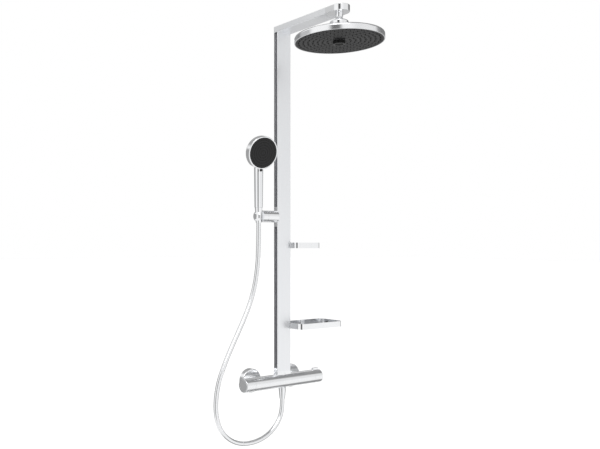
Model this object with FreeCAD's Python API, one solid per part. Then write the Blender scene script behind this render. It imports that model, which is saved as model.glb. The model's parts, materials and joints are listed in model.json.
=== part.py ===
import FreeCAD, Part
import math
import os

# Rainfall shower column, in millimetres.
# The origin is on the wall, midway between the two water inlets and at the height of the valve bar's axis.
# +X runs along the wall to the right, -Y comes out of the wall towards the user and +Z is up.

V = FreeCAD.Vector
X_AXIS = V(1, 0, 0)
Y_AXIS = V(0, 1, 0)
Z_AXIS = V(0, 0, 1)

# Clearances
gap = 0.3           # between pieces that move past each other
running = 0.05      # radial clearance of a shaft in its hole
skin = 0.1          # between pieces of one body that are only slid together

# Column: a flat aluminium section
section_width = 56.0
section_depth = 18.0
section_wall = 1.6
section_corner = 1.5
column_y = -66.0
column_front_y = column_y - section_depth / 2
column_back_y = column_y + section_depth / 2
column_side_x = section_width / 2
column_foot_z = 32.0
insert_clearance = 0.2      # of a block that slides into the section

# Arm: the same section, a little thicker, with a cast end that is half round
arm_bottom_z = 1122.0
arm_depth = 19.0
arm_top_z = arm_bottom_z + arm_depth
arm_axis_z = arm_bottom_z + arm_depth / 2
arm_inner = arm_depth - 2 * section_wall
head_axis_y = -310.0
arm_round_y = head_axis_y - 4.0
arm_seam_y = arm_round_y + column_side_x + 4.0
arm_edge_rounding = 1.2
tongue_length = 16.0
tube_end_from_seam = 6.0

# Channel in each side of the column: a mouth between two lips, and a wider space behind them
channel_mouth = 12.4
channel_inner = section_depth - 2 * section_wall
channel_floor_x = 21.0
channel_lip_x = 26.5
plug_height = 10.0

# Water tubes inside the column and the arm
tube_radius = 6.0
water_radius = 5.0
riser_foot_z = 40.0
riser_top_z = 1103.0
elbow_foot_z = riser_top_z - 12.0
elbow_front_y = -90.0
arm_tube_start_y = elbow_front_y + 12.0

# Valve bar
bar_radius = 21.7
bar_y = column_y
body_left_x = -128.0
body_right_x = 117.5
ring_right_x = 128.0
bar_end_x = 163.0
cartridge_radius = 17.0
cartridge_length = 38.0
stem_radius = 5.0
stem_insertion = 12.0
handle_wall = 3.0
handle_end_thickness = 5.0
handle_hub_radius = 9.0
cap_radius = 17.5
cap_thickness = 2.0
column_port_radius = 10.0
hose_port_radius = 9.0

# Safety button in the top of the temperature handle
button_slot_x = (134.0, 159.0)
button_slot_half_y = 4.5
safety_top_z = 27.2
safety_foot_z = 16.0
safety_slot_floor_z = handle_hub_radius + 0.2

# Wall inlets: half-inch threads at the standard spacing, set out to the valve's spacing by eccentric unions
inlet_spacing = 150.0
valve_spacing = 172.0
wall_thread_radius = 10.48
wall_thread_length = 14.0
valve_thread_radius = 13.2
valve_thread_end_y = -32.0
union_bore = 7.0
union_neck_radius = 10.5
union_collar_radius = 12.6
union_collar_y = (-27.0, -30.0)
union_nut_corner_radius = 17.0
rosette_radius = 38.4
rosette_depth = 17.5
rosette_thickness = 1.2
union_nut_y = (-rosette_depth - 0.5, -40.0)

# Rain head on its ball joint
head_radius = 130.0
head_top_z = 1056.0
head_lip_z = 1036.5
face_radius = 127.0
face_thickness = 4.0
face_bottom_z = 1037.0
shell_thickness = 1.5
boss_radius = 27.0
boss_shoulder_z = 1096.0
boss_top_z = 1103.0
boss_thread_radius = 18.0
boss_foot_z = 1048.0
socket_radius = 14.0
ball_radius = 12.0
ball_z = 1088.0
neck_radius = 6.3
collar_bottom_z = 1107.5
collar_radius = 11.2
flange_z = (collar_bottom_z + 3.1, collar_bottom_z + 5.6)
outlet_thread_radius = 8.3
centre_piece_radius = 17.5
centre_piece_bottom_z = 1028.5
centre_thread_radius = 9.5
nozzle_radius = 1.5
nozzle_tip_radius = 1.0
nozzle_rings = {34: 10, 48: 14, 62: 18, 76: 22, 90: 26, 104: 30, 117: 34}

# Hand shower, its holder and the slider in the left channel
handset_x = -100.0
handset_y = column_y
slider_z = 529.0
holder_radius = 18.7
holder_seam_x = -73.0
holder_end_x = -113.8
holder_end_rounding = 14.0
holder_slot_half = 7.9
liner_thickness = 1.0
liner_half_height = 10.5
pin_radius = 5.0
pin_x = (-50.0, -84.0)
foot_half_height = 32.0
pad_thickness = 0.6
nut_top_z = 556.0
nut_foot_z = 508.0
nut_top_radius = 11.8
nut_foot_radius = 8.6
handle_top_z = 692.0
handle_foot_radius = 13.0
handle_top_radius = 14.5
spray_turn = 9.5        # degrees that the spray disc is turned to the left
spray_droop = 15.0      # degrees that it faces down
spray_forward = 28.5
spray_z = 725.5
spray_radius = 51.5
spray_face_radius = 48.0
spray_depth = 23.0
spray_inset = 0.4
spray_rings = {8: 6, 16: 12, 24: 16, 32: 22, 40: 26}
handset_thread_radius = 9.5
handset_thread_length = 11.0
handset_bore = 8.0
mode_z = 673.0
mode_radius = 4.2

# Hose: a 14 mm metal-wound hose hanging in the plane of the bar, from the valve to the hand shower
hose_radius = 7.0
hose_start_z = -58.0
hose_thread_radius = 10.2
hose_thread_end_z = -37.0
hose_route = [
    (0, -58), (0, -96), (-18, -133), (-51, -162), (-94, -179), (-143, -183), (-188, -175), (-227, -153),
    (-255, -121), (-269, -78), (-270, -30), (-259, 24), (-234, 78), (-202, 136), (-166, 196), (-136, 252),
    (-115, 312), (-104, 374), (-100, 441), (-100, 508),
]

# Trays: the left edge of both, then each one's right edge, front, back, bottom, corner radius and drain slots
tray_left_x = 29.5
tray_height = 18.0
tray_wall = 2.5
trays = {
    "lower": {"right": 221.0, "front": -126.0, "back": -22.0, "bottom": 167.0, "corner": 22.0, "slots": 7},
    "upper": {"right": 140.0, "front": -105.0, "back": -28.0, "bottom": 428.0, "corner": 20.0, "slots": 4},
}
tray_screw_radius = 2.0

# Wall bracket behind the column
bracket_z = 745.0
bracket_half_width = 18.0
bracket_half_height = 25.0
bracket_thickness = 4.0
bracket_hole_offset = 18.0
bracket_hole_radius = 2.6
post_radius = 9.0


def cylinder(radius, start, end):
    """Round bar from the point start to the point end."""
    along = end - start
    return Part.makeCylinder(radius, along.Length, start, along)


def cone(start_radius, end_radius, start, end):
    """Round taper from the point start to the point end."""
    along = end - start
    return Part.makeCone(start_radius, end_radius, along.Length, start, along)


def box(x_range, y_range, z_range):
    """Plain block between two limits along each axis."""
    lows = [min(x_range), min(y_range), min(z_range)]
    sizes = [abs(limits[1] - limits[0]) for limits in (x_range, y_range, z_range)]
    return Part.makeBox(*sizes, V(*lows))


def around(middle, half):
    """The two limits that lie half away from the middle."""
    return (middle - half, middle + half)


def rounded_wire(points, radii, closed):
    """Wire along the points, with a tangent arc at each corner that has a radius."""
    corners = []
    for index, corner in enumerate(points):
        is_end = not closed and index in (0, len(points) - 1)
        if is_end or radii[index] == 0:
            corners.append((corner, None, corner))
            continue
        back = (points[index - 1] - corner).normalize()
        ahead = (points[(index + 1) % len(points)] - corner).normalize()
        half_turn = (math.pi - back.getAngle(ahead)) / 2
        reach = radii[index] * math.tan(half_turn)
        inset = radii[index] / math.cos(half_turn) - radii[index]
        inward = (back + ahead).normalize()
        corners.append((corner + back * reach, corner + inward * inset, corner + ahead * reach))
    edges = []
    for index, (start, middle, end) in enumerate(corners):
        if middle is not None:
            edges.append(Part.Arc(start, middle, end).toShape())
        if closed or index < len(corners) - 1:
            edges.append(Part.LineSegment(end, corners[(index + 1) % len(corners)][0]).toShape())
    return Part.Wire(edges)


def prism(points, radii, depth):
    """Closed outline with rounded corners, extruded by the vector depth."""
    return Part.Face(rounded_wire(points, radii, True)).extrude(depth)


def plate(x_range, y_range, z_range, corner):
    """Flat block whose four upright edges are rounded."""
    (x0, x1), (y0, y1), (z0, z1) = x_range, y_range, z_range
    points = [V(x0, y0, z0), V(x1, y0, z0), V(x1, y1, z0), V(x0, y1, z0)]
    return prism(points, [corner] * 4, V(0, 0, z1 - z0))


def turned(outline, base=V(0, 0, 0), axis=Z_AXIS):
    """Solid of revolution about an axis; the outline lists radius, distance along it and corner rounding."""
    outward = X_AXIS if abs(axis.x) < 0.9 and abs(axis.y) < 0.9 else Z_AXIS
    outward = (outward - axis * outward.dot(axis)).normalize()
    points = [base + outward * row[0] + axis * row[1] for row in outline]
    radii = [row[2] if len(row) > 2 else 0 for row in outline]
    return Part.Face(rounded_wire(points, radii, True)).revolve(base, axis, 360)


def fuse(first, *others):
    """One solid out of several that overlap or meet."""
    return first.fuse(list(others)).removeSplitter()


def ring_points(radius, count, height):
    """Evenly spaced points on a circle about the Z axis."""
    turns = [2 * math.pi * index / count for index in range(count)]
    return [V(radius * math.cos(turn), radius * math.sin(turn), height) for turn in turns]


def coil(radius, wire_radius, start, axis, length, turns):
    """Helical compression spring."""
    pitch = length / turns
    path = Part.makeHelix(pitch, length, radius)
    profile = Part.Wire(Part.makeCircle(wire_radius, V(radius, 0, 0), Y_AXIS))
    spring = Part.Wire(path).makePipeShell([profile], True, True)
    spring.Placement = FreeCAD.Placement(start, FreeCAD.Rotation(Z_AXIS, axis))
    return spring


# Valve bar and wall connection

def inlet_union(side):
    """Eccentric union: wall thread on one axis, collar for the nut on the other, a water way through both."""
    wall_x = side * inlet_spacing / 2
    valve_x = side * valve_spacing / 2
    offset_radius = 12.0
    offset_rear_y, offset_front_y = -4.0, -14.0
    overlap = 2.0
    thread = cylinder(wall_thread_radius, V(wall_x, wall_thread_length, 0),
                      V(wall_x, offset_rear_y - overlap, 0))
    offset_body = fuse(*[cylinder(offset_radius, V(x, offset_rear_y, 0), V(x, offset_front_y, 0))
                         for x in (wall_x, valve_x)])
    neck = cylinder(union_neck_radius, V(valve_x, offset_front_y + overlap, 0),
                    V(valve_x, union_collar_y[1], 0))
    collar = cylinder(union_collar_radius, V(valve_x, union_collar_y[0], 0), V(valve_x, union_collar_y[1], 0))
    wall_bore = cylinder(union_bore, V(wall_x, wall_thread_length + 1, 0), V(wall_x, -10, 0))
    valve_bore = cylinder(union_bore, V(valve_x, -8, 0), V(valve_x, union_collar_y[1] - 1, 0))
    return fuse(thread, offset_body, neck, collar).cut(wall_bore).cut(valve_bore)


def rosette(side):
    """Thin round cover plate over the wall connection, open towards the wall."""
    hole_radius = 13.0
    inner_radius = rosette_radius - rosette_thickness
    inner_y = rosette_thickness - rosette_depth
    outline = [
        (rosette_radius, -0.2), (rosette_radius, -rosette_depth, 2.5), (hole_radius, -rosette_depth),
        (hole_radius, inner_y), (inner_radius, inner_y, 1.3), (inner_radius, -0.2),
    ]
    return turned(outline, V(side * valve_spacing / 2, 0, 0), Y_AXIS)


def union_nut(side):
    """Hexagon nut that pulls the union's collar against the valve's inlet thread."""
    middle_x = side * valve_spacing / 2
    rear_y, front_y = union_nut_y
    shoulder_y = union_collar_y[0] + skin
    corners = ring_points(union_nut_corner_radius, 6, 0)
    points = [V(middle_x + corner.x, rear_y, corner.y) for corner in corners]
    body = prism(points, [0] * 6, V(0, front_y - rear_y, 0))
    thread = cylinder(valve_thread_radius + running, V(middle_x, front_y, 0), V(middle_x, shoulder_y, 0))
    neck_hole = cylinder(union_neck_radius + skin, V(middle_x, shoulder_y, 0), V(middle_x, rear_y, 0))
    return body.cut(thread).cut(neck_hole)


def inlet_washer(side):
    """Flat seal between the union's collar and the valve's inlet."""
    middle_x = side * valve_spacing / 2
    ring = cylinder(union_collar_radius - gap, V(middle_x, union_collar_y[1], 0),
                    V(middle_x, valve_thread_end_y, 0))
    return ring.cut(cylinder(union_bore, V(middle_x, union_collar_y[0], 0),
                             V(middle_x, valve_thread_end_y - 1, 0)))


def valve_body():
    """Bored bar: a cartridge cavity at each end, two rear inlets, and outlets up and down at the middle."""
    body = cylinder(bar_radius, V(body_left_x, bar_y, 0), V(body_right_x, bar_y, 0))
    for side in (-1, 1):
        inlet_x = side * valve_spacing / 2
        body = body.fuse(cylinder(valve_thread_radius, V(inlet_x, bar_y, 0),
                                  V(inlet_x, valve_thread_end_y, 0)))
    body = body.removeSplitter()
    left_floor_x = body_left_x + cartridge_length
    right_floor_x = body_right_x - cartridge_length
    cuts = [
        cylinder(cartridge_radius, V(body_left_x - 1, bar_y, 0), V(left_floor_x, bar_y, 0)),
        cylinder(cartridge_radius, V(body_right_x + 1, bar_y, 0), V(right_floor_x, bar_y, 0)),
        cylinder(tube_radius, V(left_floor_x - 1, bar_y, 0), V(right_floor_x + 1, bar_y, 0)),
        cylinder(column_port_radius, V(0, bar_y, 0), V(0, bar_y, bar_radius + 1)),
        cylinder(hose_port_radius, V(0, bar_y, 0), V(0, bar_y, -bar_radius - 1)),
    ]
    for side in (-1, 1):
        inlet_x = side * valve_spacing / 2
        port_start_y = bar_y + cartridge_radius + 0.5
        cuts.append(cylinder(union_bore, V(inlet_x, port_start_y, 0), V(inlet_x, valve_thread_end_y + 1, 0)))
    return body.cut(cuts)


def cartridge(mouth_x, inward):
    """Control cartridge: a round body in its cavity, with a clamping flange and a bore for the stem."""
    waist_radius = 13.0
    waist_start_x = mouth_x + inward * 14
    waist_end_x = mouth_x + inward * 30
    floor_x = mouth_x + inward * cartridge_length
    stem_end_x = mouth_x + inward * stem_insertion
    barrel = cylinder(cartridge_radius - skin, V(mouth_x, bar_y, 0), V(floor_x, bar_y, 0))
    groove = cylinder(cartridge_radius, V(waist_start_x, bar_y, 0), V(waist_end_x, bar_y, 0))
    waist = cylinder(waist_radius, V(waist_start_x, bar_y, 0), V(waist_end_x, bar_y, 0))
    stem_hole = cylinder(stem_radius + running, V(mouth_x - inward, bar_y, 0), V(stem_end_x, bar_y, 0))
    return fuse(barrel.cut(groove), waist).cut(stem_hole)


def temperature_ring():
    """Fixed ring between the body and the temperature handle."""
    hole_radius = 14.0
    outer = cylinder(bar_radius, V(body_right_x, bar_y, 0), V(ring_right_x, bar_y, 0))
    hole = cylinder(hole_radius, V(body_right_x - 1, bar_y, 0), V(ring_right_x + 1, bar_y, 0))
    return outer.cut(hole)


def bar_handle(side, inner_x):
    """Round handle, open towards the body, with a hub on the cartridge stem and a seat for its end cap."""
    start_x = inner_x + side * gap
    end_x = side * bar_end_x
    floor_x = end_x - side * handle_end_thickness
    seat_x = end_x - side * cap_thickness
    hub_start_x = start_x + side * 4
    outline = [
        (0, start_x), (bar_radius, start_x), (bar_radius, end_x, 1.5), (cap_radius, end_x),
        (cap_radius, seat_x), (0, seat_x),
    ]
    shell = turned(outline, V(0, bar_y, 0), X_AXIS)
    hollow = cylinder(bar_radius - handle_wall, V(start_x - side, bar_y, 0), V(floor_x, bar_y, 0))
    hub = cylinder(handle_hub_radius, V(hub_start_x, bar_y, 0), V(floor_x, bar_y, 0))
    stem_hole = cylinder(stem_radius, V(start_x, bar_y, 0), V(floor_x - side, bar_y, 0))
    return shell.cut(hollow.cut(hub)).cut(stem_hole)


def handle_cap(side):
    """Round disc that closes the outer end of a handle."""
    end_x = side * bar_end_x
    seat_x = end_x - side * cap_thickness
    edge_radius = cap_radius - 2 * skin
    outline = [(0, seat_x), (edge_radius, seat_x), (edge_radius, end_x, 0.6), (0, end_x)]
    return turned(outline, V(0, bar_y, 0), X_AXIS)


def handle_stem(side, mouth_x):
    """Stem that turns with the handle inside the cartridge."""
    outer_x = side * (bar_end_x - handle_end_thickness - 1)
    inner_x = mouth_x - side * (stem_insertion - 0.5)
    return cylinder(stem_radius, V(outer_x, bar_y, 0), V(inner_x, bar_y, 0))


def temperature_handle():
    """Temperature handle with a slot in its top for the safety button."""
    slot = box(button_slot_x, around(bar_y, button_slot_half_y), (safety_slot_floor_z, bar_radius + 1))
    return bar_handle(1, ring_right_x).cut(slot)


def safety_button():
    """Rounded key in the handle's slot, pressed down to pass the hot-water stop."""
    x_range = (button_slot_x[0] + gap, button_slot_x[1] - gap)
    y_range = around(bar_y, button_slot_half_y - gap)
    return plate(x_range, y_range, (safety_foot_z, safety_top_z), 3.0)


def safety_spring():
    """Coil under the safety button, standing on the handle's hub."""
    middle_x = sum(button_slot_x) / 2
    wire_radius = 0.45
    foot_z = safety_slot_floor_z + 0.15 + wire_radius
    top_z = safety_foot_z - 0.25 - wire_radius
    return coil(3.0, wire_radius, V(middle_x, bar_y, foot_z), Z_AXIS, top_z - foot_z, 3)


def hose_outlet():
    """Threaded nipple under the bar, with the water way to the hose."""
    port_radius = hose_port_radius - skin
    flange_radius = 12.0
    flange_top_z = -bar_radius - 0.6
    flange_foot_z = -bar_radius - 3.0
    outline = [
        (water_radius, -12), (port_radius, -12), (port_radius, flange_top_z), (flange_radius, flange_top_z),
        (flange_radius, flange_foot_z), (hose_thread_radius, flange_foot_z), (hose_thread_radius,
                                                                              hose_thread_end_z),
        (water_radius, hose_thread_end_z),
    ]
    return turned(outline, V(0, bar_y, 0))


def base_adapter():
    """Block that carries the column on the bar: a saddle below and a spigot up inside the column."""
    half_y = section_depth / 2
    saddle_foot_z = 19.9
    spigot_top_z = 60.0
    nipple_foot_z = 8.0
    spigot_x = channel_floor_x - section_wall - insert_clearance
    spigot_y = channel_inner / 2 - insert_clearance
    saddle = box(around(0, column_side_x), around(column_y, half_y), (saddle_foot_z, column_foot_z))
    spigot = box(around(0, spigot_x), around(column_y, spigot_y), (column_foot_z - 1, spigot_top_z))
    nipple = cylinder(column_port_radius - skin, V(0, bar_y, nipple_foot_z), V(0, bar_y, column_foot_z - 6))
    bar_surface = cylinder(bar_radius, V(-60, bar_y, 0), V(60, bar_y, 0))
    water = cylinder(water_radius, V(0, bar_y, nipple_foot_z - 1), V(0, bar_y, spigot_top_z + 1))
    tube_seat = cylinder(tube_radius, V(0, bar_y, riser_foot_z), V(0, bar_y, spigot_top_z + 1))
    block = fuse(saddle, spigot).cut(bar_surface)
    return fuse(block, nipple).cut([water, tube_seat])


# Column and arm

def column_profile():
    """Flat extrusion with a chamber for the riser tube and a lipped channel in each side."""
    half_y = section_depth / 2
    height = arm_bottom_z - column_foot_z
    z_range = (column_foot_z - 1, arm_bottom_z + 1)
    points = [V(x, column_y + y, column_foot_z) for x, y in (
        (-column_side_x, -half_y), (column_side_x, -half_y), (column_side_x, half_y), (-column_side_x,
                                                                                       half_y))]
    body = prism(points, [section_corner] * 4, V(0, 0, height))
    chamber_x = channel_floor_x - section_wall
    cuts = [box(around(0, chamber_x), around(column_y, channel_inner / 2), z_range)]
    for side in (-1, 1):
        wide_x = (side * channel_floor_x, side * channel_lip_x)
        mouth_x = (side * channel_floor_x, side * (column_side_x + 1))
        cuts.append(box(wide_x, around(column_y, channel_inner / 2), z_range))
        cuts.append(box(mouth_x, around(column_y, channel_mouth / 2), z_range))
    return body.cut(cuts)


def channel_plug(side):
    """Insert that closes the foot of one side channel, flush with the column's side."""
    z_range = (column_foot_z, column_foot_z + plug_height)
    inner = box((side * (channel_floor_x + skin), side * (channel_lip_x - skin)),
                around(column_y, channel_inner / 2 - skin), z_range)
    outer = box((side * (channel_lip_x - 1), side * column_side_x),
                around(column_y, channel_mouth / 2 - skin), z_range)
    return fuse(inner, outer)


def riser_tube():
    """Water tube inside the column."""
    outer = cylinder(tube_radius - running, V(0, column_y, riser_foot_z), V(0, column_y, riser_top_z))
    return outer.cut(cylinder(water_radius, V(0, column_y, riser_foot_z - 1),
                              V(0, column_y, riser_top_z + 1)))


def corner_block():
    """Elbow that joins the column to the arm and turns the water forward."""
    spigot_x = channel_floor_x - section_wall - insert_clearance
    spigot_y = channel_inner / 2 - insert_clearance
    head_back_y = column_back_y - section_wall - insert_clearance
    corner = V(0, column_y, arm_axis_z)
    spigot = box(around(0, spigot_x), around(column_y, spigot_y), (elbow_foot_z, arm_bottom_z + 3))
    head = box(around(0, 24), (head_back_y, elbow_front_y), around(arm_axis_z,
                                                                   arm_inner / 2 - insert_clearance))
    cuts = [
        cylinder(water_radius, V(0, column_y, elbow_foot_z - 1), corner),
        cylinder(water_radius, corner, V(0, elbow_front_y - 1, arm_axis_z)),
        cylinder(tube_radius, V(0, column_y, elbow_foot_z - 1), V(0, column_y, riser_top_z)),
        cylinder(tube_radius, V(0, arm_tube_start_y, arm_axis_z), V(0, elbow_front_y - 1, arm_axis_z)),
    ]
    return fuse(spigot, head).cut(cuts)


def arm_profile():
    """Flat hollow arm, closed at the back, with an opening underneath for the corner block."""
    half_z = arm_depth / 2
    points = [V(x, column_back_y, arm_axis_z + z) for x, z in (
        (-column_side_x, -half_z), (column_side_x, -half_z), (column_side_x, half_z), (-column_side_x,
                                                                                       half_z))]
    body = prism(points, [section_corner] * 4, V(0, arm_seam_y - column_back_y, 0))
    hollow = box(around(0, column_side_x - section_wall), (column_back_y - section_wall, arm_seam_y - 1),
                 around(arm_axis_z, arm_inner / 2))
    opening = box(around(0, channel_floor_x - section_wall), around(column_y, channel_inner / 2),
                  (arm_bottom_z - 1, arm_bottom_z + 3))
    return body.cut([hollow, opening])


def arm_tube():
    """Water tube inside the arm, from the corner block to the arm's end."""
    end_y = arm_seam_y + tube_end_from_seam
    outer = cylinder(tube_radius - running, V(0, arm_tube_start_y, arm_axis_z), V(0, end_y, arm_axis_z))
    return outer.cut(cylinder(water_radius, V(0, arm_tube_start_y + 1, arm_axis_z),
                              V(0, end_y - 1, arm_axis_z)))


def arm_end_cap():
    """Cast end of the arm: half round, with a tongue in the arm and a thread for the outlet."""
    round_end = cylinder(column_side_x, V(0, arm_round_y, arm_bottom_z), V(0, arm_round_y, arm_top_z))
    straight = box(around(0, column_side_x), (arm_seam_y, arm_round_y), (arm_bottom_z, arm_top_z))
    tongue = box(around(0, column_side_x - section_wall - insert_clearance),
                 (arm_seam_y + tongue_length, arm_seam_y - 1), around(arm_axis_z,
                                                                      arm_inner / 2 - insert_clearance))
    body = fuse(round_end, straight, tongue)
    rim_edges = [edge for edge in body.Edges if abs(edge.BoundBox.ZMin - edge.BoundBox.ZMax) < 0.01
                 and abs(abs(edge.CenterOfMass.z - arm_axis_z) - arm_depth / 2) < 0.01
                 and edge.BoundBox.YMin < arm_round_y - 1]
    body = body.makeFillet(arm_edge_rounding, rim_edges)
    tube_end_y = arm_seam_y + tube_end_from_seam
    cuts = [
        cylinder(tube_radius, V(0, arm_seam_y + tongue_length + 1, arm_axis_z), V(0, tube_end_y, arm_axis_z)),
        cylinder(water_radius, V(0, tube_end_y + 1, arm_axis_z), V(0, head_axis_y, arm_axis_z)),
        cylinder(outlet_thread_radius + running, V(0, head_axis_y, arm_bottom_z - 1),
                 V(0, head_axis_y, arm_axis_z + 4)),
    ]
    return body.cut(cuts)


def head_outlet():
    """Threaded nipple that hangs from the arm's end and carries the head's collar nut."""
    foot_z = flange_z[1] + gap
    top_z = arm_bottom_z + 4
    outline = [
        (water_radius, foot_z), (outlet_thread_radius, foot_z), (outlet_thread_radius,
                                                                 top_z), (water_radius, top_z),
    ]
    return turned(outline, V(0, head_axis_y, 0))


def swivel_nut():
    """Collar nut under the arm; its lip holds the flange of the ball stud."""
    lip_z = flange_z[0] - gap
    neck_hole = neck_radius + running
    thread_radius = outlet_thread_radius + running
    outline = [
        (neck_hole, collar_bottom_z), (collar_radius, collar_bottom_z, 1.5), (collar_radius,
                                                                              arm_bottom_z, 0.6),
        (thread_radius, arm_bottom_z), (thread_radius, lip_z), (neck_hole, lip_z),
    ]
    return turned(outline, V(0, head_axis_y, 0))


# Rain head

def ball_stud():
    """Hollow ball on a neck, with a flange above."""
    ball = Part.makeSphere(ball_radius, V(0, head_axis_y, ball_z))
    neck = cylinder(neck_radius, V(0, head_axis_y, ball_z), V(0, head_axis_y, flange_z[1]))
    flange = cylinder(outlet_thread_radius - gap, V(0, head_axis_y, flange_z[0]),
                      V(0, head_axis_y, flange_z[1]))
    water = cylinder(4.0, V(0, head_axis_y, ball_z - 20), V(0, head_axis_y, flange_z[1] + 1))
    return fuse(ball, neck, flange).cut(water)


def head_boss():
    """Domed boss on the head that holds the ball from above; its threaded foot passes through the shell."""
    mouth_radius = 12.0
    throat_radius = 8.0
    throat_z = ball_z + 6.0
    outline = [
        (socket_radius, boss_foot_z), (boss_thread_radius, boss_foot_z), (boss_thread_radius, head_top_z),
        (boss_radius, head_top_z), (boss_radius, boss_shoulder_z, 4), (mouth_radius + 2, boss_top_z, 3),
        (mouth_radius, boss_top_z - 0.6), (throat_radius, throat_z), (throat_radius,
                                                                      ball_z), (socket_radius, ball_z),
    ]
    socket = Part.makeSphere(ball_radius + running, V(0, head_axis_y, ball_z))
    return turned(outline, V(0, head_axis_y, 0)).cut(socket)


def ball_seat():
    """Plastic ring screwed in under the ball, with a spherical seat and a water hole."""
    foot_z = ball_z - 18
    body = cylinder(socket_radius - skin, V(0, head_axis_y, foot_z), V(0, head_axis_y, ball_z - 0.5))
    socket = Part.makeSphere(ball_radius + running, V(0, head_axis_y, ball_z))
    return body.cut([socket, cylinder(tube_radius, V(0, head_axis_y, foot_z - 1), V(0, head_axis_y, ball_z))])


def head_shell():
    """Thin round shell with a rounded upper edge, open below."""
    hole_radius = boss_thread_radius + skin
    seat_radius = face_radius + 0.2
    inner_top_z = head_top_z - shell_thickness
    outline = [
        (hole_radius, head_top_z), (head_radius, head_top_z, 7), (head_radius, head_lip_z, 0.8),
        (seat_radius, head_lip_z), (seat_radius, inner_top_z - 7.5, 4), (seat_radius - 5.2, inner_top_z, 3),
        (hole_radius, inner_top_z),
    ]
    return turned(outline, V(0, head_axis_y, 0))


def head_nut():
    """Ring nut inside the shell that clamps the boss."""
    hole_radius = boss_thread_radius + skin
    outer_radius = 24.0
    foot_z = boss_foot_z + 0.5
    top_z = head_top_z - shell_thickness
    outline = [(hole_radius, foot_z), (outer_radius, foot_z), (outer_radius, top_z), (hole_radius, top_z)]
    return turned(outline, V(0, head_axis_y, 0))


def nozzle_places(rings, height):
    """Places of the spray nozzles, ring by ring."""
    return [place for radius, count in rings.items() for place in ring_points(radius, count, height)]


def head_face():
    """Dark spray plate with a hole for each nozzle and one for the centre piece."""
    centre = V(0, head_axis_y, 0)
    through = V(0, 0, face_thickness + 2)
    body = cylinder(face_radius, centre + V(0, 0, face_bottom_z),
                    centre + V(0, 0, face_bottom_z + face_thickness))
    holes = [cylinder(nozzle_radius, centre + place, centre + place + through)
             for place in nozzle_places(nozzle_rings, face_bottom_z - 1)]
    middle = centre + V(0, 0, face_bottom_z - 1)
    holes.append(cylinder(centre_thread_radius, middle, middle + through))
    return body.cut(holes)


def head_nozzles():
    """Soft nozzles of the rain head, one in each hole, with the tips below the plate."""
    centre = V(0, head_axis_y, 0)
    solids = []
    for place in nozzle_places(nozzle_rings, face_bottom_z):
        foot = centre + place
        tip = foot - V(0, 0, 2)
        solids.append(cone(nozzle_radius - running, nozzle_tip_radius, foot + V(0, 0, face_thickness), tip))
    return Part.makeCompound(solids)


def head_gasket():
    """Seal between the spray plate's edge and the shell."""
    inner_radius = 120.0
    outer_radius = face_radius - gap
    foot_z = face_bottom_z + face_thickness
    top_z = foot_z + 3
    outline = [(inner_radius, foot_z), (outer_radius, foot_z), (outer_radius, top_z), (inner_radius, top_z)]
    return turned(outline, V(0, head_axis_y, 0))


def head_centre_piece():
    """Black centre jet that stands below the plate, with a hollow mouth and a threaded foot in the plate."""
    mouth_z = centre_piece_bottom_z
    thread_radius = centre_thread_radius - skin
    top_z = face_bottom_z + 6.5
    outline = [
        (0, mouth_z + 3.5), (11.0, mouth_z + 3.5), (13.0, mouth_z), (centre_piece_radius, mouth_z, 1.5),
        (centre_piece_radius, face_bottom_z), (thread_radius, face_bottom_z), (thread_radius, top_z), (0,
                                                                                                       top_z),
    ]
    return turned(outline, V(0, head_axis_y, 0))


# Slider, holder and hand shower

def slider_carriage():
    """Fixed half of the cross tube, with a T-shaped foot in the column's left channel."""
    plate_x = (-channel_lip_x + gap, -channel_floor_x - gap - pad_thickness)
    neck_x = (-channel_lip_x + 1, -column_side_x - 1)
    foot = box(plate_x, around(column_y, channel_inner / 2 - gap), around(slider_z, foot_half_height))
    neck = box(neck_x, around(column_y, channel_mouth / 2 - gap), around(slider_z, 17))
    tube = cylinder(holder_radius, V(-column_side_x - gap, column_y, slider_z),
                    V(holder_seam_x, column_y, slider_z))
    pin_hole = cylinder(pin_radius, V(holder_seam_x - 1, column_y, slider_z), V(pin_x[0], column_y, slider_z))
    return fuse(foot, neck, tube).cut(pin_hole)


def slider_pads():
    """Two plastic pads on the back of the slider's foot, which brake it in the channel."""
    x_range = (-channel_floor_x - gap - pad_thickness, -channel_floor_x - gap)
    inner = 8.0
    outer = foot_half_height - 2
    return Part.makeCompound([
        box(x_range, around(column_y, 5), (slider_z + side * inner,
                                           slider_z + side * outer)) for side in (-1, 1)])


def holder_pin():
    """Pivot pin of the holder, fixed in the slider."""
    return cylinder(pin_radius, V(pin_x[0], column_y, slider_z), V(pin_x[1], column_y, slider_z))


def nut_radius_at(height):
    """Radius of the hand shower's conical hose nut at a height."""
    share = (height - nut_foot_z) / (nut_top_z - nut_foot_z)
    return nut_foot_radius + share * (nut_top_radius - nut_foot_radius)


def nut_cone(extra):
    """Cone round the hose nut, larger by extra, through the whole holder."""
    low = slider_z - holder_radius - 1
    high = slider_z + holder_radius + 1
    return cone(nut_radius_at(low) + extra, nut_radius_at(high) + extra,
                V(handset_x, handset_y, low), V(handset_x, handset_y, high))


def holder_slot():
    """Front slot of the holder, wide enough for the hose."""
    return box(around(handset_x, holder_slot_half), (handset_y, handset_y - 30), around(slider_z, 30))


def holder_socket():
    """Tilting half of the cross tube, with a rounded end, a conical hole and a front slot."""
    seam_x = holder_seam_x - gap
    outline = [
        (0, seam_x), (holder_radius, seam_x), (holder_radius, holder_end_x, holder_end_rounding),
        (0, holder_end_x),
    ]
    body = turned(outline, V(0, column_y, slider_z), X_AXIS)
    pin_end_x = pin_x[1] - gap
    pin_hole = cylinder(pin_radius + running, V(holder_seam_x, column_y, slider_z),
                        V(pin_end_x, column_y, slider_z))
    return body.cut([pin_hole, nut_cone(gap + liner_thickness), holder_slot()])


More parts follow.
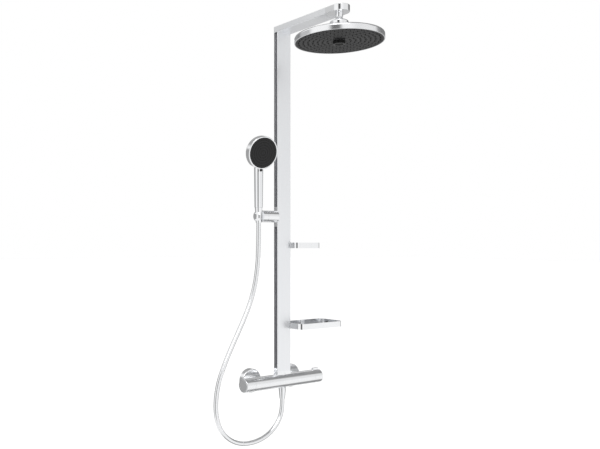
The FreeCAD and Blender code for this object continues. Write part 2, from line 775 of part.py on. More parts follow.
def holder_liner():
    """Plastic sleeve that lines the holder's conical hole."""
    middle = box(around(handset_x, 30), around(handset_y, 30), around(slider_z, liner_half_height))
    sleeve = nut_cone(gap + liner_thickness).cut([nut_cone(gap), holder_slot()])
    return sleeve.common(middle)


def hose_nut_top():
    """Conical nut at the hand shower, which sits in the holder; the hose ends against its foot."""
    thread_radius = handset_thread_radius + 0.4
    thread_foot_z = nut_top_z - handset_thread_length - 0.6
    outline = [
        (water_radius, nut_foot_z), (nut_foot_radius, nut_foot_z), (nut_top_radius, nut_top_z, 0.6),
        (thread_radius, nut_top_z), (thread_radius, thread_foot_z), (water_radius, thread_foot_z),
    ]
    return turned(outline, V(handset_x, handset_y, 0))


def hose_nut_bottom():
    """Conical nut at the valve; the hose ends against its foot."""
    top_z = -25.2
    thread_radius = hose_thread_radius + skin
    thread_foot_z = hose_thread_end_z - 1
    outline = [
        (water_radius, hose_start_z), (nut_foot_radius, hose_start_z), (nut_top_radius, top_z, 0.6),
        (thread_radius, top_z), (thread_radius, thread_foot_z), (water_radius, thread_foot_z),
    ]
    return turned(outline, V(0, bar_y, 0))


def spray_forward_direction():
    """Level direction in which the hand shower's spray disc is turned."""
    turn = math.radians(spray_turn)
    return V(-math.sin(turn), -math.cos(turn), 0)


def spray_frame():
    """Face centre and outward normal of the hand shower's spray disc."""
    droop = math.radians(spray_droop)
    forward = spray_forward_direction()
    centre = V(handset_x, handset_y, spray_z) + forward * spray_forward
    normal = forward * math.cos(droop) - Z_AXIS * math.sin(droop)
    return centre, normal


def handset_shell():
    """One-piece shell: tapered handle, bent neck and flat round head, hollow for water and spray plate."""
    centre, normal = spray_frame()
    foot = V(handset_x, handset_y, nut_top_z + gap)
    top = V(handset_x, handset_y, handle_top_z)
    neck_end = centre - normal * (spray_depth - 1)
    handle = cone(handle_foot_radius, handle_top_radius, foot, top)
    elbow = Part.makeSphere(handle_top_radius, top)
    neck = cone(handle_top_radius, 18.0, top, neck_end)
    disc = turned([(0, 0), (spray_radius, 0, 1.2), (spray_radius, -spray_depth, 5), (0, -spray_depth - 4)],
                  centre, normal)
    thread = cylinder(handset_thread_radius, foot - V(0, 0, handset_thread_length), foot + V(0, 0, 1))
    body = handle.fuse([elbow, neck, disc, thread]).removeSplitter()
    cavity_back = 3 - spray_depth
    cuts = [
        cylinder(handset_bore, foot + V(0, 0, handset_bore), top),
        cylinder(water_radius, foot - V(0, 0, handset_thread_length + 1), foot + V(0, 0, handset_bore + 1)),
        cone(handset_bore, tube_radius, top, neck_end),
        Part.makeSphere(handset_bore, top),
        turned([(0, 1), (spray_face_radius, 1), (spray_face_radius, cavity_back, 4), (0, cavity_back)],
               centre, normal),
        cylinder(mode_radius + gap, forward_from_handle(8.5), forward_from_handle(30)),
    ]
    return body.cut(cuts)


def handset_core():
    """Plastic water tube inside the handle."""
    foot = V(handset_x, handset_y, nut_top_z + gap + handset_bore)
    top = V(handset_x, handset_y, mode_z - mode_radius - 2)
    return cylinder(handset_bore - skin, foot, top).cut(cylinder(water_radius, foot - Z_AXIS, top + Z_AXIS))


def handset_face():
    """Dark spray plate of the hand shower."""
    centre, normal = spray_frame()
    edge_radius = spray_face_radius - 0.2
    outline = [(0, -spray_inset), (edge_radius, -spray_inset), (edge_radius, -4), (0, -4)]
    return turned(outline, centre, normal)


def handset_nozzles():
    """Small soft nozzles on the hand shower's plate."""
    centre, normal = spray_frame()
    turn = FreeCAD.Rotation(Z_AXIS, normal)
    solids = []
    for place in nozzle_places(spray_rings, -spray_inset):
        foot = centre + turn.multVec(place)
        solids.append(cone(1.1, 0.8, foot, foot + normal * 1.3))
    return Part.makeCompound(solids)


def forward_from_handle(distance):
    """Point in front of the handle's axis at the height of the mode button."""
    return V(handset_x, handset_y, mode_z) + spray_forward_direction() * distance


def mode_button():
    """Small round button at the foot of the spray disc."""
    return cylinder(mode_radius, forward_from_handle(11.5), forward_from_handle(16.8))


def mode_spring():
    """Dished spring washer behind the mode button."""
    outline = [(3.9, 8.6), (3.9, 9.0), (1.6, 11.3), (1.2, 10.9)]
    return turned(outline, forward_from_handle(0), spray_forward_direction())


# Trays on the right channel

def tray(sizes):
    """Shallow rounded tray with drain slots in its floor and a screw hole in its left wall."""
    top = sizes["bottom"] + tray_height
    outer = plate((tray_left_x, sizes["right"]), (sizes["front"], sizes["back"]), (sizes["bottom"], top),
                  sizes["corner"])
    inner = plate((tray_left_x + tray_wall, sizes["right"] - tray_wall),
                  (sizes["front"] + tray_wall, sizes["back"] - tray_wall),
                  (sizes["bottom"] + tray_wall, top + 1), sizes["corner"] - tray_wall)
    slot_half_length = (sizes["back"] - sizes["front"]) / 4
    middle_y = (sizes["back"] + sizes["front"]) / 2
    pitch = (sizes["right"] - tray_left_x) / (sizes["slots"] + 1)
    floor_z = (sizes["bottom"] - 1, sizes["bottom"] + tray_wall + 1)
    cuts = [inner]
    for index in range(sizes["slots"]):
        middle_x = tray_left_x + pitch * (index + 1)
        cuts.append(plate(around(middle_x, 2.5), around(middle_y, slot_half_length), floor_z, 2.4))
    middle_z = sizes["bottom"] + tray_height / 2
    screw_start = V(tray_left_x - 1, column_y, middle_z)
    screw_end = V(tray_left_x + tray_wall + 1, column_y, middle_z)
    cuts.append(cylinder(tray_screw_radius + 0.6, screw_start, screw_end))
    return outer.cut(cuts)


def tray_clamp(sizes):
    """Clamp of a tray: a T-shaped foot in the right channel and a jaw over the column's front edge."""
    z_range = (sizes["bottom"] + 1, sizes["bottom"] + tray_height - 1)
    foot = box((channel_floor_x + gap, channel_lip_x - gap), around(column_y, channel_inner / 2 - gap),
               z_range)
    neck = box((channel_lip_x - 1, tray_left_x), around(column_y, channel_mouth / 2 - gap), z_range)
    jaw_front_y = column_front_y - gap - 3
    strip = box((column_side_x + gap, tray_left_x), (jaw_front_y, column_y), z_range)
    jaw = box((column_side_x - 6, tray_left_x), (column_front_y - gap, jaw_front_y), z_range)
    middle_z = sizes["bottom"] + tray_height / 2
    screw_start = V(channel_floor_x, column_y, middle_z)
    screw_hole = cylinder(tray_screw_radius, screw_start, V(tray_left_x + 1, column_y, middle_z))
    return fuse(foot, neck, strip, jaw).cut(screw_hole)


def tray_screw(sizes):
    """Screw that holds a tray to its clamp, with its head inside the tray."""
    middle_z = sizes["bottom"] + tray_height / 2
    inner_x = tray_left_x + tray_wall
    shank = cylinder(tray_screw_radius, V(channel_floor_x + 1, column_y, middle_z),
                     V(inner_x + 1, column_y, middle_z))
    head = cylinder(4.0, V(inner_x, column_y, middle_z), V(inner_x + 2.4, column_y, middle_z))
    hexagon = cylinder(1.5, V(inner_x + 1, column_y, middle_z), V(inner_x + 3, column_y, middle_z))
    return fuse(shank, head).cut(hexagon)


# Wall bracket

def bracket_plate():
    """Flat plate on the wall with two screw holes."""
    body = box(around(0, bracket_half_width), (-bracket_thickness, 0), around(bracket_z, bracket_half_height))
    holes = [cylinder(bracket_hole_radius, V(0, -10, bracket_z + side * bracket_hole_offset),
                      V(0, 10, bracket_z + side * bracket_hole_offset)) for side in (-1, 1)]
    return body.cut(holes)


def bracket_post():
    """Spacer between the wall plate and the column's back."""
    flange_radius = post_radius + 4
    flange_y = column_back_y + 4
    outline = [(0, column_back_y), (flange_radius, column_back_y), (flange_radius, flange_y),
               (post_radius, flange_y), (post_radius, -bracket_thickness), (0, -bracket_thickness)]
    return turned(outline, V(0, 0, bracket_z), Y_AXIS)


# Hose

def hose_path():
    """Centreline of the hose: straight runs joined by tangent arcs as large as the runs allow."""
    points = [V(x, bar_y, z) for x, z in hose_route]
    radii = [0] * len(points)
    for index in range(1, len(points) - 1):
        before = points[index] - points[index - 1]
        after = points[index + 1] - points[index]
        half_turn = before.getAngle(after) / 2
        radii[index] = 0.45 * min(before.Length, after.Length) / math.tan(half_turn)
    print("hose radii:", [round(radius) for radius in radii[1:-1]])
    return rounded_wire(points, radii, False)


def shower_hose():
    """Plain round hose from the valve's nut to the hand shower's nut."""
    path = hose_path()
    profile = Part.Wire(Part.makeCircle(hose_radius, V(0, bar_y, hose_start_z), Z_AXIS))
    hose = path.makePipeShell([profile], True, False)
    expected = math.pi * hose_radius ** 2 * path.Length
    print("hose length %.0f mm, volume share %.4f" % (path.Length, hose.Volume / expected))
    return hose


def all_nodes():
    """Every sub-part by its name."""
    sides = {"left": -1, "right": 1}
    nodes = {}
    for name, side in sides.items():
        nodes["inlet_union_" + name] = inlet_union(side)
        nodes["rosette_" + name] = rosette(side)
    nodes["union_nuts"] = Part.makeCompound([union_nut(side) for side in sides.values()])
    nodes["inlet_washers"] = Part.makeCompound([inlet_washer(side) for side in sides.values()])
    nodes["valve_body"] = valve_body()
    nodes["diverter_cartridge"] = cartridge(body_left_x, 1)
    nodes["thermostatic_cartridge"] = cartridge(body_right_x, -1)
    nodes["temperature_ring"] = temperature_ring()
    nodes["flow_handle"] = bar_handle(-1, body_left_x)
    nodes["flow_handle_cap"] = handle_cap(-1)
    nodes["diverter_stem"] = handle_stem(-1, body_left_x)
    nodes["temperature_handle"] = temperature_handle()
    nodes["temperature_cap"] = handle_cap(1)
    nodes["temperature_stem"] = handle_stem(1, body_right_x)
    nodes["safety_button"] = safety_button()
    nodes["safety_spring"] = safety_spring()
    nodes["hose_outlet"] = hose_outlet()
    nodes["base_adapter"] = base_adapter()
    nodes["column_profile"] = column_profile()
    nodes["channel_plugs"] = Part.makeCompound([channel_plug(side) for side in sides.values()])
    nodes["riser_tube"] = riser_tube()
    nodes["corner_block"] = corner_block()
    nodes["arm_profile"] = arm_profile()
    nodes["arm_tube"] = arm_tube()
    nodes["arm_end_cap"] = arm_end_cap()
    nodes["head_outlet"] = head_outlet()
    nodes["swivel_nut"] = swivel_nut()
    nodes["ball_stud"] = ball_stud()
    nodes["head_boss"] = head_boss()
    nodes["ball_seat"] = ball_seat()
    nodes["head_shell"] = head_shell()
    nodes["head_nut"] = head_nut()
    nodes["head_face"] = head_face()
    nodes["head_nozzles"] = head_nozzles()
    nodes["head_gasket"] = head_gasket()
    nodes["head_centre_piece"] = head_centre_piece()
    nodes["slider_carriage"] = slider_carriage()
    nodes["slider_pads"] = slider_pads()
    nodes["holder_pin"] = holder_pin()
    nodes["holder_socket"] = holder_socket()
    nodes["holder_liner"] = holder_liner()
    nodes["hose_nut_top"] = hose_nut_top()
    nodes["hose_nut_bottom"] = hose_nut_bottom()
    nodes["handset_shell"] = handset_shell()
    nodes["handset_core"] = handset_core()
    nodes["handset_face"] = handset_face()
    nodes["handset_nozzles"] = handset_nozzles()
    nodes["mode_button"] = mode_button()
    nodes["mode_spring"] = mode_spring()
    for name, sizes in trays.items():
        nodes[name + "_tray"] = tray(sizes)
        nodes[name + "_tray_clamp"] = tray_clamp(sizes)
        nodes[name + "_tray_screw"] = tray_screw(sizes)
    nodes["bracket_plate"] = bracket_plate()
    nodes["bracket_post"] = bracket_post()
    nodes["shower_hose"] = shower_hose()
    return nodes


os.makedirs("parts", exist_ok=True)
for node_name, shape in all_nodes().items():
    if not shape.isValid() or not shape.Solids:
        print("check the shape of", node_name)
    shape.exportStep("parts/" + node_name + ".step")
    print("%-24s solids %3d volume %10.1f" % (node_name, len(shape.Solids), shape.Volume))
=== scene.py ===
import json
import math

import bpy
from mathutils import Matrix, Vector

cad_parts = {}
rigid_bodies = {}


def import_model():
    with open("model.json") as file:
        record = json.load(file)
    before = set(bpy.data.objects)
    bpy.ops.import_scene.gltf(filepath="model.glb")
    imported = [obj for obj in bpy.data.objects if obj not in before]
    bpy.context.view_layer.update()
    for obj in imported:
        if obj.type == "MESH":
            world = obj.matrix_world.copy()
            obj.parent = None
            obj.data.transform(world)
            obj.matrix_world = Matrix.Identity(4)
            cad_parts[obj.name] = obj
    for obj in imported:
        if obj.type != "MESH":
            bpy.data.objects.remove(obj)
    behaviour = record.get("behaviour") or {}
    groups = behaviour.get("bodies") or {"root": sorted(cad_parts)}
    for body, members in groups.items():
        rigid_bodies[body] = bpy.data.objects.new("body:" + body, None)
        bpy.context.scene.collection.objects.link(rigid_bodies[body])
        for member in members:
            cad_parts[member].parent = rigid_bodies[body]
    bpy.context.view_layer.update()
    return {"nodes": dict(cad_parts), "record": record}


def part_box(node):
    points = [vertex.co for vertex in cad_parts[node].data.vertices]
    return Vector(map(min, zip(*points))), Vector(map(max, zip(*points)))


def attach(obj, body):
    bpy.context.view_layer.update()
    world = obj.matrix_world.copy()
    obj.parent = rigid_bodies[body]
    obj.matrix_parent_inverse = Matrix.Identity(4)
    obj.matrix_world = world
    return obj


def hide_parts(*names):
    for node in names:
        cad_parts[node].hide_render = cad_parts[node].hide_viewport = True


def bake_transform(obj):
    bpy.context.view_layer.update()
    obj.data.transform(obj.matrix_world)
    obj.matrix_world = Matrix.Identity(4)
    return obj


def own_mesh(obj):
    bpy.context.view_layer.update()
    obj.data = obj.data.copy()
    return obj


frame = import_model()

# Visual model of a rainfall shower column, in metres, in the CAD model's frame: origin on the wall midway
# between the inlets, +X to the right, -Y towards the user, +Z up.

nodes = frame["nodes"]


def middle_of(name):
    """Middle of a CAD node's box."""
    low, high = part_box(name)
    return (Vector(low) + Vector(high)) / 2


# Camera: it stands to the left of the column, looks level, and its frame is shifted
camera_place = (-1.5586, -1.7588, 0.4389)
camera_turn = math.radians(-33.3)
camera_lens = 42.1
camera_shift = (0.2219, 0.0338)

# Hose: its route across and up, in millimetres, in the upright plane through its lower nut
mm_per_metre = 1000
hose_diameter = 0.014
hose_y = middle_of("hose_nut_bottom").y
hose_route = [
    (0, -58), (0, -96), (-18, -133), (-51, -162), (-94, -179), (-143, -183), (-188, -175), (-227, -153),
    (-255, -121), (-269, -78), (-270, -30), (-259, 24), (-234, 78), (-202, 136), (-166, 196), (-136, 252),
    (-115, 312), (-104, 374), (-100, 441), (-100, 508),
]
steps_between_points = 12
rib_pitch = 0.0032
rib_depth = 0.00012
rings_per_rib = 4
sides_around = 28

# Heights given for the hose's three lengths, from the wall to the slider, from the slider to the holder, and
# from the holder to its upper nut; only the holder's pair is used, to cut the hose between its lengths
slider_share_z = (0.02, 0.3)
holder_share_z = (0.3, 0.42)
lift_share_z = (0.42, 0.505)

# Springs behind the buttons: each one's node, its button's joint, and the share of its length that a full
# press leaves
button_springs = [
    ("mode_spring", "mode_press", 0.25),
    ("safety_spring", "safety_press", 0.35),
]

# Edges that turn by more than this stay sharp
node_crease = math.radians(30)
hose_crease = math.radians(70)

# The middle of a noise's values, which a material spreads over its colours and its roughness
noise_low = 0.3
noise_high = 0.7

# Grain of drawn aluminium, in features per metre across and along it
grain_across = 1400
grain_along = 12

# Studio
floor_z = -1.0
floor_half = 60.0
sun_strength = 0.9
sun_width = math.radians(35)
sun_from = (-0.45, -0.5, 0.75)

# A screen whose middle rises or falls more than this is overhead or underfoot, and has +X for its upward side
screen_steep = 0.7

# Grey screens in the white room, as seen from the object: the direction of each one's middle, its half height
# and half width there, the width of its soft edge, and how much light it takes
screens = [
    ((-0.82, -0.57, -0.05), 0.40, 0.12, 0.20, 0.88),
    ((0.54, -0.08, 0.84), 0.62, 0.36, 0.18, 0.66),
    ((0.54, 0.03, -0.84), 0.62, 0.26, 0.16, 0.70),
    ((0.93, 0.37, 0.0), 0.36, 0.46, 0.18, 0.46),
    ((-0.24, 0.97, -0.05), 0.27, 0.56, 0.18, 0.62),
    ((0.20, 0.75, 0.62), 0.30, 0.40, 0.18, 0.60),
    ((0.50, -0.76, 0.45), 0.24, 0.50, 0.30, 0.14),
]


# Node helpers

def value_node(tree, operation, first, second=None):
    """Arithmetic on one or two values, which are numbers or sockets."""
    node = tree.nodes.new("ShaderNodeMath")
    node.operation = operation
    for socket, value in zip(node.inputs, (first, second)):
        if value is None:
            continue
        if isinstance(value, (int, float)):
            socket.default_value = value
        else:
            tree.links.new(value, socket)
    return node.outputs["Value"]


def vector_node(tree, operation, first, second=None):
    """Outputs of vector arithmetic on a socket and, where the operation takes one, a fixed vector."""
    node = tree.nodes.new("ShaderNodeVectorMath")
    node.operation = operation
    tree.links.new(first, node.inputs[0])
    if second is not None:
        node.inputs[1].default_value = second
    return node.outputs


def blended(tree, first, second, share):
    """Weighted mean of two values, with the second one's share given."""
    kept = value_node(tree, "MULTIPLY", first, 1 - share)
    return value_node(tree, "ADD", kept, value_node(tree, "MULTIPLY", second, share))


def along(tree, vector, direction):
    """Component of a vector along a fixed direction."""
    return vector_node(tree, "DOT_PRODUCT", vector, direction)["Value"]


def within(tree, value, half, soft):
    """1 where the value is nearer to zero than half, falling smoothly to 0 over the soft width."""
    ramp = tree.nodes.new("ShaderNodeMapRange")
    ramp.interpolation_type = "SMOOTHSTEP"
    ramp.inputs["From Min"].default_value = half + soft
    ramp.inputs["From Max"].default_value = half
    tree.links.new(value_node(tree, "ABSOLUTE", value), ramp.inputs["Value"])
    return ramp.outputs["Result"]


def object_place(tree):
    """Place on the piece, in its own coordinates."""
    return tree.nodes.new("ShaderNodeTexCoord").outputs["Object"]


def new_material(name):
    """Empty node material, with its tree, its shader and the place on the piece."""
    material = bpy.data.materials.new(name)
    material.use_nodes = True
    tree = material.node_tree
    return material, tree, tree.nodes["Principled BSDF"], object_place(tree)


def stretched(tree, place, scale):
    """Coordinates scaled by its own factor along each axis."""
    mapping = tree.nodes.new("ShaderNodeMapping")
    mapping.inputs["Scale"].default_value = scale
    tree.links.new(place, mapping.inputs["Vector"])
    return mapping.outputs["Vector"]


def noise(tree, place, scale, detail):
    """Noise between 0 and 1 at a scale in features per unit of the place."""
    texture = tree.nodes.new("ShaderNodeTexNoise")
    texture.inputs["Scale"].default_value = scale
    texture.inputs["Detail"].default_value = detail
    tree.links.new(place, texture.inputs["Vector"])
    return texture.outputs["Fac"]


def spread(tree, value, low, high):
    """The value, with the middle of a noise's values spread between low and high."""
    scaled = tree.nodes.new("ShaderNodeMapRange")
    scaled.inputs["From Min"].default_value = noise_low
    scaled.inputs["From Max"].default_value = noise_high
    scaled.inputs["To Min"].default_value = low
    scaled.inputs["To Max"].default_value = high
    tree.links.new(value, scaled.inputs["Value"])
    return scaled.outputs["Result"]


def tinted(tree, value, dark, light):
    """Colour between dark and light by the value."""
    ramp = tree.nodes.new("ShaderNodeValToRGB")
    ramp.color_ramp.elements[0].position = noise_low
    ramp.color_ramp.elements[1].position = noise_high
    ramp.color_ramp.elements[0].color = (*dark, 1)
    ramp.color_ramp.elements[1].color = (*light, 1)
    tree.links.new(value, ramp.inputs["Fac"])
    return ramp.outputs["Color"]


def mixed(tree, share, first, second):
    """Colour that goes from a socket's to a fixed one as the share goes from 0 to 1."""
    mix = tree.nodes.new("ShaderNodeMix")
    mix.data_type = "RGBA"
    tree.links.new(share, mix.inputs["Factor"])
    tree.links.new(first, mix.inputs["A"])
    mix.inputs["B"].default_value = (*second, 1)
    return mix.outputs["Result"]


def bumped(tree, shader, value, depth):
    """Surface relief of a depth in metres."""
    bump = tree.nodes.new("ShaderNodeBump")
    bump.inputs["Distance"].default_value = depth
    bump.inputs["Strength"].default_value = 1.0
    tree.links.new(value, bump.inputs["Height"])
    tree.links.new(bump.outputs["Normal"], shader.inputs["Normal"])


# Materials: rough is the range of a material's roughness, and relief the depth of its bumps

def surface(name, dark, light, metallic, rough, grain, relief):
    """Material whose colour, roughness and relief vary with a noise of grain features per metre."""
    material, tree, shader, place = new_material(name)
    fine = noise(tree, stretched(tree, place, scale=(grain, grain, grain)), scale=1.0, detail=3.0)
    tree.links.new(tinted(tree, fine, dark, light), shader.inputs["Base Color"])
    tree.links.new(spread(tree, fine, *rough), shader.inputs["Roughness"])
    shader.inputs["Metallic"].default_value = metallic
    bumped(tree, shader, fine, relief)
    return material


def chrome(name, rough):
    """Polished plating: broad smears and fine specks, both faint, and a very slight waviness."""
    material, tree, shader, place = new_material(name)
    smears = noise(tree, stretched(tree, place, scale=(25, 25, 14)), scale=1.0, detail=2.0)
    specks = noise(tree, place, scale=900.0, detail=2.0)
    both = blended(tree, smears, specks, share=0.25)
    plating = tinted(tree, both, dark=(0.86, 0.87, 0.885), light=(0.91, 0.915, 0.925))
    tree.links.new(plating, shader.inputs["Base Color"])
    tree.links.new(spread(tree, both, *rough), shader.inputs["Roughness"])
    shader.inputs["Metallic"].default_value = 1.0
    bumped(tree, shader, smears, depth=0.00003)
    return material


def anodised(name, grain):
    """Satin anodised aluminium: a fine grain, in features per metre along each axis, under faint clouds."""
    material, tree, shader, place = new_material(name)
    drawn = noise(tree, stretched(tree, place, grain), scale=1.0, detail=4.0)
    clouds = noise(tree, stretched(tree, place, scale=(9, 9, 4)), scale=1.0, detail=1.0)
    both = blended(tree, drawn, clouds, share=0.4)
    metal = tinted(tree, both, dark=(0.85, 0.862, 0.885), light=(0.92, 0.93, 0.945))
    tree.links.new(metal, shader.inputs["Base Color"])
    tree.links.new(spread(tree, both, low=0.30, high=0.40), shader.inputs["Roughness"])
    shader.inputs["Metallic"].default_value = 1.0
    bumped(tree, shader, drawn, depth=0.000015)
    return material


def column_metal():
    """Column: drawn along its height, with painted shade in its side channels."""
    material = anodised("satin_column", grain=(grain_across, grain_across, grain_along))
    tree = material.node_tree
    place = object_place(tree)
    base_colour = tree.nodes["Principled BSDF"].inputs["Base Color"]
    metal = base_colour.links[0].from_socket
    # Painted shade: the recess inside each side channel is coloured dark grey where shade falls
    shade = (0.16, 0.16, 0.17)
    mouth_half = 0.0064
    mouth_edge = 0.0003
    lip_depth = 0.0008
    channel_share = 0.4
    low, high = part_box("column_profile")
    channel_depth = channel_share * (high[0] - low[0]) / 2
    side = value_node(tree, "SUBTRACT", value_node(tree, "ABSOLUTE", along(tree, place, (1, 0, 0))), high[0])
    offset = value_node(tree, "ADD", along(tree, place, (0, 1, 0)), -middle_of("column_profile").y)
    in_mouth = within(tree, offset, mouth_half, mouth_edge)
    under_lip = value_node(tree, "LESS_THAN", side, -lip_depth)
    outside_core = value_node(tree, "GREATER_THAN", side, -channel_depth)
    painted_shade_in_channel = value_node(tree, "MULTIPLY", value_node(tree, "MULTIPLY", in_mouth, under_lip), outside_core)
    tree.links.new(mixed(tree, painted_shade_in_channel, metal, shade), base_colour)
    return material


def arm_metal():
    """Arm: drawn along its length."""
    return anodised("satin_arm", grain=(grain_across, grain_along, grain_across))


def dark_plate(name, centre, normal, first_ring, ring_pitch, ring_contrast, rough, shine):
    """Dark spray plate, darker in the moulded ring that each ring of nozzles stands in."""
    material, tree, shader, place = new_material(name)
    from_centre = vector_node(tree, "SUBTRACT", place, centre)["Vector"]
    across = vector_node(tree, "CROSS_PRODUCT", from_centre, normal)["Vector"]
    reach = vector_node(tree, "LENGTH", across)["Value"]
    from_first = value_node(tree, "SUBTRACT", reach, first_ring)
    turns = value_node(tree, "MULTIPLY", from_first, 2 * math.pi / ring_pitch)
    rings = value_node(tree, "COSINE", turns)
    lightness = value_node(tree, "SUBTRACT", 0.5, value_node(tree, "MULTIPLY", rings, ring_contrast))
    grain = noise(tree, place, scale=1600.0, detail=2.0)
    both = blended(tree, lightness, grain, share=0.3)
    plate = tinted(tree, both, dark=(0.003, 0.003, 0.003), light=(0.027, 0.027, 0.028))
    tree.links.new(plate, shader.inputs["Base Color"])
    tree.links.new(spread(tree, grain, *rough), shader.inputs["Roughness"])
    shader.inputs["Specular IOR Level"].default_value = shine
    bumped(tree, shader, both, depth=0.0001)
    return material


# The hand shower sprays forward, 15 degrees down and 9.5 degrees to the left
spray_normal = (-0.1594, -0.9527, -0.2588)

materials = {
    "chrome": chrome("chrome", rough=(0.03, 0.09)),
    "satin_aluminium": anodised("satin_aluminium", grain=(900, 900, 900)),
    "brass": surface("brass", dark=(0.62, 0.45, 0.2), light=(0.76, 0.58, 0.3), metallic=1.0,
                     rough=(0.18, 0.35), grain=300, relief=0.00001),
    "steel": surface("steel", dark=(0.55, 0.55, 0.56), light=(0.66, 0.66, 0.67), metallic=1.0,
                     rough=(0.2, 0.35), grain=500, relief=0.00001),
    "white_plastic": surface("white_plastic", dark=(0.72, 0.72, 0.7), light=(0.8, 0.8, 0.78), metallic=0.0,
                             rough=(0.35, 0.5), grain=400, relief=0.00001),
    "dark_face": dark_plate("head_plate", middle_of("head_face"), normal=(0, 0, 1), first_ring=0.034,
                            ring_pitch=0.014, ring_contrast=0.4, rough=(0.16, 0.3), shine=0.05),
    "black_rubber": surface("black_rubber", dark=(0.008, 0.008, 0.008), light=(0.016, 0.016, 0.016),
                            metallic=0.0, rough=(0.45, 0.6), grain=900, relief=0.00002),
    "black_plastic": surface("black_plastic", dark=(0.004, 0.004, 0.004), light=(0.009, 0.009, 0.009),
                             metallic=0.0, rough=(0.25, 0.4), grain=500, relief=0.00001),
    "hose_metal": surface("hose_metal", dark=(0.80, 0.81, 0.825), light=(0.90, 0.905, 0.915), metallic=1.0,
                          rough=(0.05, 0.11), grain=350, relief=0.00001),
}
soft_chrome = chrome("soft_chrome", rough=(0.13, 0.21))
soft_chrome_nodes = ["head_shell", "valve_body", "flow_handle", "flow_handle_cap", "temperature_handle",
                     "temperature_cap", "rosette_left", "rosette_right"]
special_materials = {
    **{name: soft_chrome for name in soft_chrome_nodes},
    "column_profile": column_metal(),
    "arm_profile": arm_metal(),
    "handset_face": dark_plate("spray_plate", middle_of("handset_face"), spray_normal, first_ring=0.008,
                               ring_pitch=0.008, ring_contrast=0.12, rough=(0.3, 0.45), shine=0.19),
}


def paint(piece, material):
    """Gives a piece one material."""
    piece.data.materials.clear()
    piece.data.materials.append(material)


def paint_nodes():
    """Gives each CAD node its own material or its slot's, with smooth faces between its real edges."""
    slots = {row["node"]: row["material_slot"] for row in frame["record"]["subparts"]}
    for name, node in nodes.items():
        paint(node, special_materials.get(name, materials[slots[name]]))
        node.data.shade_smooth()
        node.data.set_sharp_from_angle(angle=node_crease)


# Hose

def route_curve(points):
    """Smooth open curve with the points as its control points."""
    curve = bpy.data.curves.new("route", "CURVE")
    curve.dimensions = "3D"
    curve.resolution_u = steps_between_points
    spline = curve.splines.new("NURBS")
    spline.points.add(len(points) - 1)
    for point, place in zip(spline.points, points):
        point.co = (*place, 1)
    spline.order_u = 3
    spline.use_endpoint_u = True
    return curve


def curve_points(curve):
    """Places along a curve, in order."""
    holder = bpy.data.objects.new("route_reader", curve)
    mesh = bpy.data.meshes.new_from_object(holder)
    places = [vertex.co.copy() for vertex in mesh.vertices]
    bpy.data.objects.remove(holder)
    bpy.data.meshes.remove(mesh)
    return places


def evenly(places, step):
    """Places about a step apart along a line of places."""
    lengths = [0.0]
    for start, end in zip(places, places[1:]):
        lengths.append(lengths[-1] + (end - start).length)
    count = max(2, round(lengths[-1] / step))
    found = []
    segment = 0
    for index in range(count + 1):
        target = lengths[-1] * index / count
        while segment < len(places) - 2 and lengths[segment + 1] < target:
            segment += 1
        share = (target - lengths[segment]) / (lengths[segment + 1] - lengths[segment])
        found.append(places[segment].lerp(places[segment + 1], share))
    return found


def ribbed_tube(name, line, first, last):
    """Closed tube along the line from its place first to its place last, with fine shallow ribs."""
    radius = hose_diameter / 2
    plane_normal = Vector((0, 1, 0))
    vertices = []
    faces = []
    for index in range(first, last + 1):
        before = line[max(index - 1, 0)]
        after = line[min(index + 1, len(line) - 1)]
        ahead = (after - before).normalized()
        side = ahead.cross(plane_normal).normalized()
        across = ahead.cross(side).normalized()
        swell = math.cos(2 * math.pi * (index % rings_per_rib) / rings_per_rib)
        reach = radius - rib_depth * (0.5 - 0.5 * swell)
        for turn in range(sides_around):
            angle = 2 * math.pi * turn / sides_around
            outward = side * (reach * math.cos(angle))
            vertices.append(line[index] + outward + across * (reach * math.sin(angle)))
    for ring in range(last - first):
        for turn in range(sides_around):
            start = ring * sides_around + turn
            beside = ring * sides_around + (turn + 1) % sides_around
            faces.append((start, beside, beside + sides_around, start + sides_around))
    end = (last - first) * sides_around
    faces.append(tuple(range(sides_around))[::-1])
    faces.append(tuple(end + turn for turn in range(sides_around)))
    mesh = bpy.data.meshes.new(name)
    mesh.from_pydata(vertices, [], faces)
    mesh.shade_smooth()
    mesh.set_sharp_from_angle(angle=hose_crease)
    piece = bpy.data.objects.new(name, mesh)
    bpy.context.scene.collection.objects.link(piece)
    paint(piece, materials["hose_metal"])
    return piece


def hose():
    """Ribbed hose in three lengths end to end, cut where it rises past the holder's two heights, in place of
    the CAD hose.
    """
    points = [(x / mm_per_metre, hose_y, z / mm_per_metre) for x, z in hose_route]
    line = evenly(curve_points(route_curve(points)), rib_pitch / rings_per_rib)
    loop_end = next(index for index in range(len(line) // 2, len(line)) if line[index].z > holder_share_z[0])
    rise_end = next(index for index in range(loop_end, len(line)) if line[index].z > holder_share_z[1])
    lengths = [
        ("hose_loop", 0, loop_end, ("wall_assembly", "slider"), slider_share_z, [nodes["hose_nut_bottom"]]),
        ("hose_rise", loop_end, rise_end, ("slider", "holder"), holder_share_z, []),
        ("hose_top", rise_end, len(line) - 1, ("holder", "hose_end"), lift_share_z, [nodes["hose_nut_top"]]),
    ]
    for name, first, last, bodies, share_z, fittings in lengths:
        piece = ribbed_tube(name, line, first, last)
        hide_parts("shower_hose")
        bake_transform(piece)


# Springs

def springs():
    """Springs behind the two buttons, each a steel copy of its node on the parent body of its button's joint.
    """
    for name, joint, share_kept in button_springs:
        press = next(row for row in frame["record"]["behaviour"]["joints"] if row["name"] == joint)
        piece = bpy.data.objects.new(name + "_pressed", nodes[name].data.copy())
        bpy.context.scene.collection.objects.link(piece)
        paint(piece, materials["steel"])
        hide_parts(name)
        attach(piece, press["parent"])
        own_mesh(piece)


# Studio

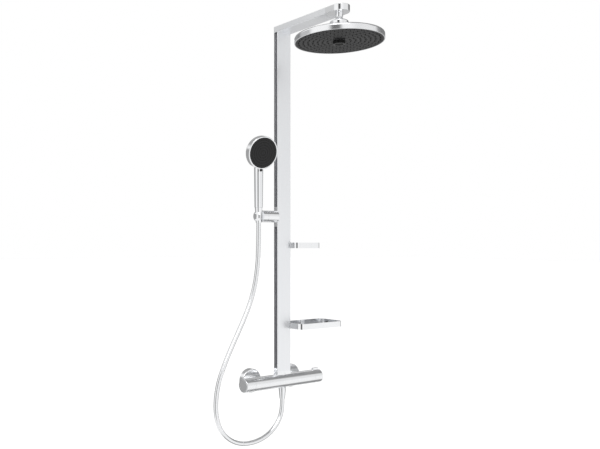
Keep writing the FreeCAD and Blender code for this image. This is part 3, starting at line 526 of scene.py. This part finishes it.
def camera():
    """Level camera with a shifted frame."""
    lens = bpy.data.cameras.new("camera")
    lens.lens = camera_lens
    lens.shift_x, lens.shift_y = camera_shift
    view = bpy.data.objects.new("camera", lens)
    view.location = camera_place
    view.rotation_euler = (math.radians(90), 0, camera_turn)
    bpy.context.scene.collection.objects.link(view)
    bpy.context.scene.camera = view


def sun():
    """Soft key light from the front, the left and above."""
    light = bpy.data.lights.new("key", "SUN")
    light.energy = sun_strength
    light.angle = sun_width
    lamp = bpy.data.objects.new("key", light)
    lamp.rotation_euler = Vector(sun_from).to_track_quat("Z", "Y").to_euler()
    bpy.context.scene.collection.objects.link(lamp)


def floor():
    """Plain pale floor, well below the object."""
    mesh = bpy.data.meshes.new("floor")
    corners = [(-floor_half, -floor_half, floor_z), (floor_half, -floor_half, floor_z),
               (floor_half, floor_half, floor_z), (-floor_half, floor_half, floor_z)]
    mesh.from_pydata(corners, [], [(0, 1, 2, 3)])
    piece = bpy.data.objects.new("floor", mesh)
    bpy.context.scene.collection.objects.link(piece)
    paint(piece, surface("floor", dark=(0.92, 0.92, 0.92), light=(0.95, 0.95, 0.95), metallic=0.0,
                         rough=(0.8, 0.9), grain=3, relief=0.00001))
    piece.visible_glossy = False


def world():
    """White room whose grey screens show only in reflections; the camera and soft light see plain white."""
    room = bpy.data.worlds.new("room")
    room.use_nodes = True
    tree = room.node_tree
    background = tree.nodes["Background"]
    direction = tree.nodes.new("ShaderNodeTexCoord").outputs["Generated"]
    brightness = None
    for middle, half_height, half_width, soft, taken in screens:
        ahead = Vector(middle).normalized()
        upward = Vector((0, 0, 1)) if abs(ahead.z) < screen_steep else Vector((1, 0, 0))
        wide = ahead.cross(upward).normalized()
        high = wide.cross(ahead).normalized()
        inside = value_node(tree, "MULTIPLY", within(tree, along(tree, direction, wide), half_width, soft),
                            within(tree, along(tree, direction, high), half_height, soft))
        facing = value_node(tree, "GREATER_THAN", along(tree, direction, ahead), 0.0)
        dark = value_node(tree, "MULTIPLY", value_node(tree, "MULTIPLY", inside, facing), taken)
        left = value_node(tree, "SUBTRACT", 1.0, dark)
        brightness = left if brightness is None else value_node(tree, "MULTIPLY", brightness, left)
    rays = tree.nodes.new("ShaderNodeLightPath").outputs
    plain = value_node(tree, "MAXIMUM", rays["Is Camera Ray"], rays["Is Diffuse Ray"])
    strength = value_node(tree, "MAXIMUM", brightness, plain)
    tree.links.new(strength, background.inputs["Strength"])
    background.inputs["Color"].default_value = (1, 1, 1, 1)
    bpy.context.scene.world = room


camera()
hose()
paint_nodes()
springs()
floor()
world()
sun()

bpy.context.scene.view_settings.view_transform = "Standard"
